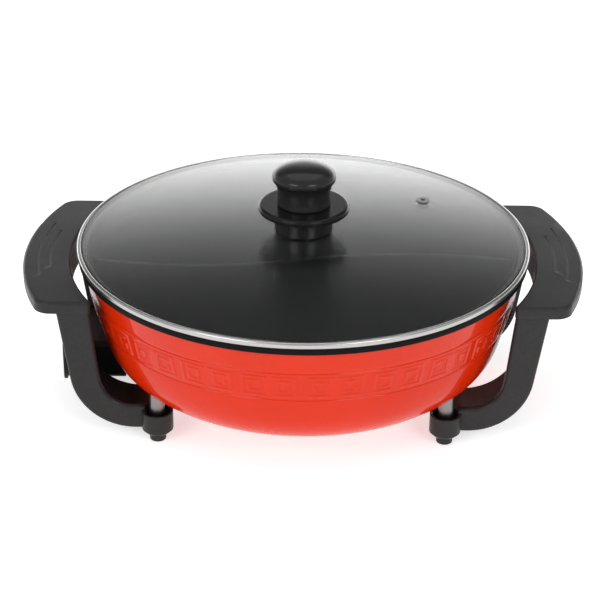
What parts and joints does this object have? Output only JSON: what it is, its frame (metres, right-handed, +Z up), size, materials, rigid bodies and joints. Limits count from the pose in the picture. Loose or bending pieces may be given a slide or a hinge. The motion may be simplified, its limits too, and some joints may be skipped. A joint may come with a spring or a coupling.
{
  "type": "divided electric hot pot",
  "caption": "Round electric pan with an S-shaped divider, a glass lid with a turned knob, and handle frames whose legs carry it above the table.",
  "frame": {"origin": "centre of the object's base, on the surface that the feet stand on", "axes": "+Z up, +X from the socket handle to the plain handle, -Y towards the front"},
  "size_m": [0.377, 0.305, 0.1644],
  "materials": {
    "enamel_pan": "glossy red enamel outside and black non-stick inside, over aluminium",
    "divider": "black non-stick over aluminium",
    "handle_plastic": "fine satin grain, heat-resistant",
    "socket_plastic": "satin black, heat-resistant",
    "knob_plastic": "glossy black",
    "glass": "clear tempered glass",
    "rim_steel": "bright stainless steel",
    "post_steel": "dull turned steel",
    "fastener_steel": "zinc plated",
    "spreader_aluminium": "dull cast aluminium",
    "element_steel": "heat-tinted stainless tube",
    "contact_brass": "plain brass",
    "bead_ceramic": "unglazed white",
    "foot_rubber": "matte black"
  },
  "bodies": {
    "base": {"pan": "enamel_pan", "pan_divider": "divider", "heat_spreader": "spreader_aluminium", "heating_element": "element_steel", "spreader_studs": "fastener_steel", "spreader_nuts": "fastener_steel", "terminal_pin_front": "contact_brass", "terminal_pin_rear": "contact_brass", "pin_insulators": "bead_ceramic", "probe_sleeve": "spreader_aluminium", "earth_contact": "contact_brass", "socket_bracket": "fastener_steel", "socket_shroud": "socket_plastic", "shroud_screws": "fastener_steel", "right_handle_frame": "handle_plastic", "left_handle_frame": "handle_plastic", "leg_screws": "fastener_steel", "post_front_left": "post_steel", "foot_front_left": "foot_rubber", "post_front_right": "post_steel", "foot_front_right": "foot_rubber", "post_rear_left": "post_steel", "foot_rear_left": "foot_rubber", "post_rear_right": "post_steel", "foot_rear_right": "foot_rubber"},
    "lid": {"lid_glass": "glass", "lid_rim": "rim_steel", "vent_grommet": "rim_steel", "knob_collar": "knob_plastic", "knob_guard": "knob_plastic", "knob_grip": "knob_plastic", "knob_washer": "foot_rubber", "knob_screw": "fastener_steel"}
  },
  "joints": [
    {"name": "lid_lift", "type": "slide", "parent": "base", "child": "lid", "axis": [0, 0, 1], "range_m": [0, 0.12]}
  ]
}
